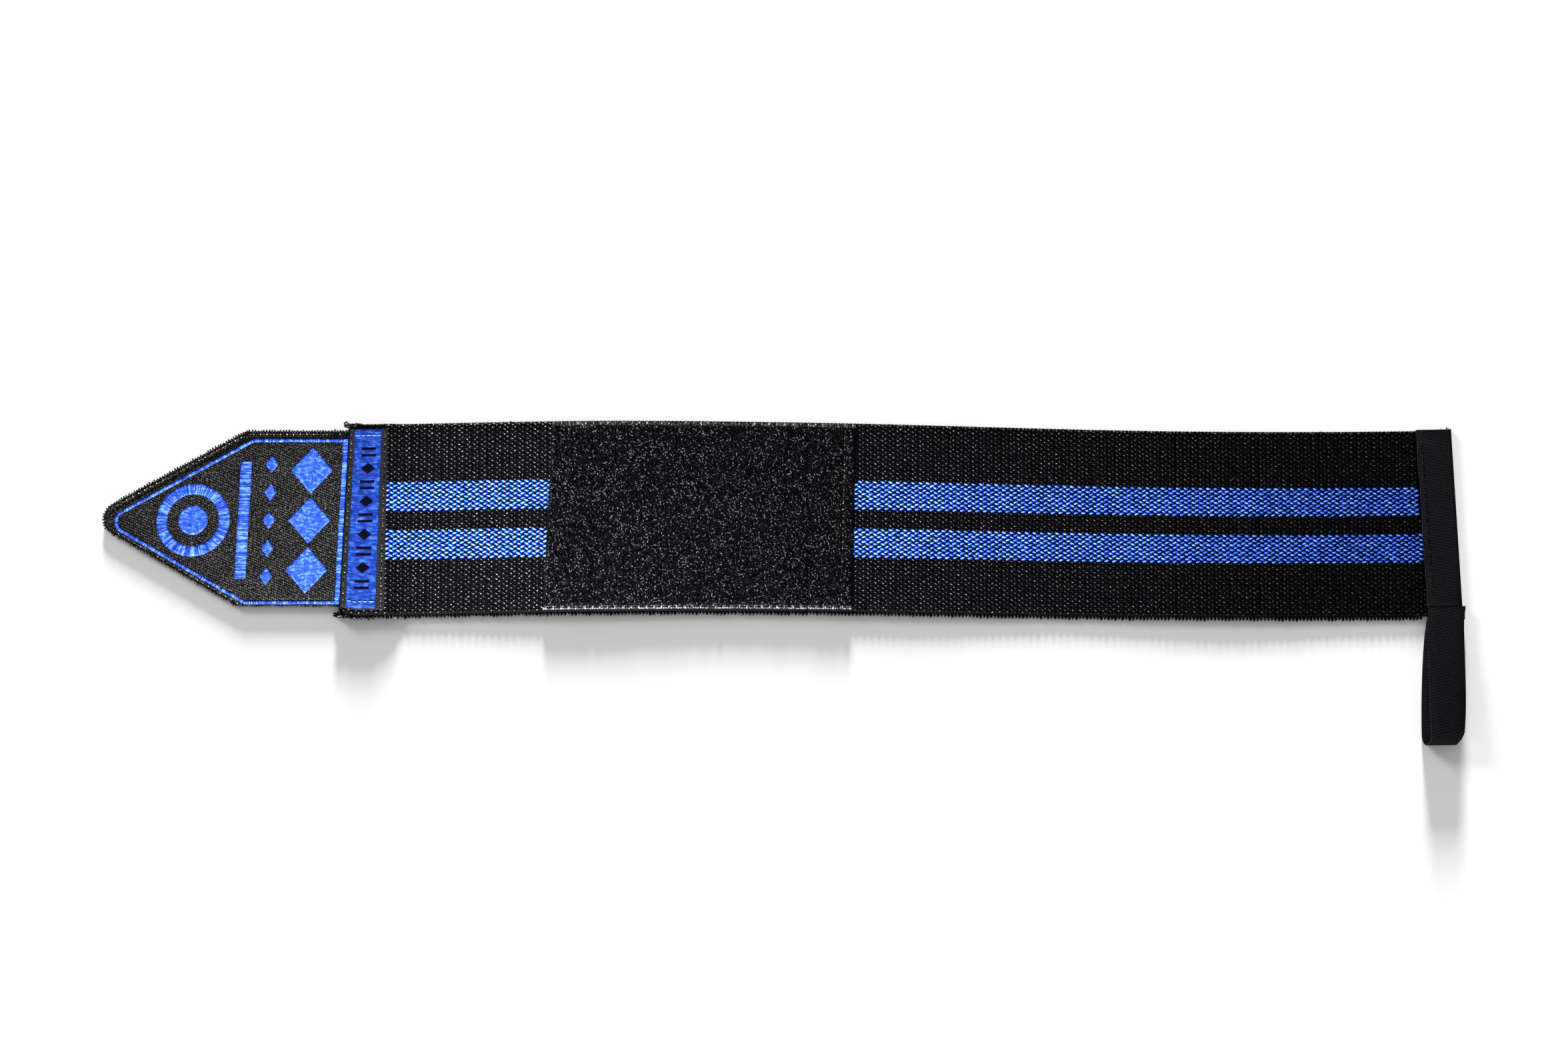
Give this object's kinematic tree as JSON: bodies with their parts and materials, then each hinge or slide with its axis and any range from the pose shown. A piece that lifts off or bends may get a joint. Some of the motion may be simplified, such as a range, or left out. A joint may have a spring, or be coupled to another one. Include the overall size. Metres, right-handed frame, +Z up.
{
  "type": "hand wrap",
  "caption": "Elastic hand wrap lying flat: a striped woven band with a pointed hook tab, a loop-pile patch, a bound end and a thumb loop.",
  "frame": {"origin": "middle of the bounding box's base, on the surface that the wrap lies on", "axes": "+X along the band from the tab's tip to the thumb loop, -Y towards the side that the thumb loop hangs from, +Z up out of the outer face"},
  "size_m": [0.5572, 0.128, 0.0096],
  "materials": {
    "black_weave": "ribbed woven elastic, matt polyester yarn",
    "blue_weave": "ribbed woven elastic, bright blue polyester yarn",
    "latex": "round natural rubber thread",
    "patch_ground": "tight woven ground tape",
    "loop_pile": "curly nylon loop pile",
    "black_thread": "twisted sewing thread",
    "twill": "brushed polyester twill",
    "blue_label": "satin-stitched strip",
    "blue_thread": "lustrous embroidery thread",
    "hook_tape": "woven nylon hook tape",
    "hooks": "moulded nylon hooks",
    "binding_tape": "fine woven tape"
  },
  "bodies": {
    "tab": {"hook_tape": "hook_tape", "hook_field": "hooks", "tab_twill": "twill", "tab_outline": "blue_thread", "tab_emblem": "blue_thread", "tab_stitches": "black_thread"},
    "hem_end": {"band_01": "black_weave", "stripes_01": "blue_weave", "rubber_threads_01": "latex", "seam_cover": "twill", "cover_stitches": "black_thread", "label_strip": "blue_label", "label_stitches": "blue_thread"},
    "span_02": {"band_02": "black_weave", "stripes_02": "blue_weave", "rubber_threads_02": "latex"},
    "span_03": {"band_03": "black_weave", "stripes_03": "blue_weave", "rubber_threads_03": "latex", "patch_ground_1": "patch_ground", "patch_pile_1": "loop_pile", "patch_stitches_1": "black_thread"},
    "span_04": {"band_04": "black_weave", "stripes_04": "blue_weave", "rubber_threads_04": "latex", "patch_ground_2": "patch_ground", "patch_pile_2": "loop_pile", "patch_stitches_2": "black_thread"},
    "span_05": {"band_05": "black_weave", "stripes_05": "blue_weave", "rubber_threads_05": "latex", "patch_ground_3": "patch_ground", "patch_pile_3": "loop_pile", "patch_stitches_3": "black_thread"},
    "span_06": {"band_06": "black_weave", "stripes_06": "blue_weave", "rubber_threads_06": "latex"},
    "span_07": {"band_07": "black_weave", "stripes_07": "blue_weave", "rubber_threads_07": "latex"},
    "span_08": {"band_08": "black_weave", "stripes_08": "blue_weave", "rubber_threads_08": "latex"},
    "span_09": {"band_09": "black_weave", "stripes_09": "blue_weave", "rubber_threads_09": "latex"},
    "span_10": {"band_10": "black_weave", "stripes_10": "blue_weave", "rubber_threads_10": "latex"},
    "span_11": {"band_11": "black_weave", "stripes_11": "blue_weave", "rubber_threads_11": "latex"},
    "span_12": {"band_12": "black_weave", "stripes_12": "blue_weave", "rubber_threads_12": "latex", "end_binding": "binding_tape", "loop_ends": "binding_tape", "end_stitches": "black_thread"},
    "loop": {"thumb_loop": "binding_tape"}
  },
  "joints": [
    {"name": "neck_bend", "type": "hinge", "parent": "span_02", "child": "hem_end", "pos_m": [-0.1399, 0.0264, 0.0024], "axis": [0, 1, 0], "range_deg": [0, 20]},
    {"name": "tab_fold", "type": "hinge", "parent": "hem_end", "child": "tab", "pos_m": [-0.1796, 0.0264, 0.003], "axis": [0, 1, 0], "range_deg": [0, 70]},
    {"name": "roll", "type": "hinge", "parent": "span_02", "child": "span_03", "pos_m": [-0.1002, 0.0264, 0.0024], "axis": [0, -1, 0], "range_deg": [0, 44]},
    {"name": "roll_02", "type": "hinge", "parent": "span_03", "child": "span_04", "pos_m": [-0.0562, 0.0264, 0.0024], "axis": [0, -1, 0], "range_deg": [0, 44]},
    {"name": "roll_03", "type": "hinge", "parent": "span_04", "child": "span_05", "pos_m": [-0.0122, 0.0264, 0.0024], "axis": [0, -1, 0], "range_deg": [0, 44]},
    {"name": "roll_04", "type": "hinge", "parent": "span_05", "child": "span_06", "pos_m": [0.0318, 0.0264, 0.0024], "axis": [0, -1, 0], "range_deg": [0, 44]},
    {"name": "roll_05", "type": "hinge", "parent": "span_06", "child": "span_07", "pos_m": [0.07027, 0.0264, 0.0024], "axis": [0, -1, 0], "range_deg": [0, 44]},
    {"name": "roll_06", "type": "hinge", "parent": "span_07", "child": "span_08", "pos_m": [0.10744, 0.0264, 0.0024], "axis": [0, -1, 0], "range_deg": [0, 44]},
    {"name": "roll_07", "type": "hinge", "parent": "span_08", "child": "span_09", "pos_m": [0.14331, 0.0264, 0.0024], "axis": [0, -1, 0], "range_deg": [0, 44]},
    {"name": "roll_08", "type": "hinge", "parent": "span_09", "child": "span_10", "pos_m": [0.17789, 0.0264, 0.0024], "axis": [0, -1, 0], "range_deg": [0, 44]},
    {"name": "roll_09", "type": "hinge", "parent": "span_10", "child": "span_11", "pos_m": [0.21116, 0.0264, 0.0024], "axis": [0, -1, 0], "range_deg": [0, 44]},
    {"name": "roll_10", "type": "hinge", "parent": "span_11", "child": "span_12", "pos_m": [0.24313, 0.0264, 0.0024], "axis": [0, -1, 0], "range_deg": [0, 44]},
    {"name": "loop_swing", "type": "hinge", "parent": "span_12", "child": "loop", "pos_m": [0.2711, -0.0135, 0.0032], "axis": [-1, 0, 0], "range_deg": [0, 75]}
  ],
  "couplings": [
    {"joint": "roll_02", "follows": "roll", "ratio": 1},
    {"joint": "roll_03", "follows": "roll", "ratio": 1},
    {"joint": "roll_04", "follows": "roll", "ratio": 1},
    {"joint": "roll_05", "follows": "roll", "ratio": 1},
    {"joint": "roll_06", "follows": "roll", "ratio": 1},
    {"joint": "roll_07", "follows": "roll", "ratio": 1},
    {"joint": "roll_08", "follows": "roll", "ratio": 1},
    {"joint": "roll_09", "follows": "roll", "ratio": 1},
    {"joint": "roll_10", "follows": "roll", "ratio": 1}
  ]
}
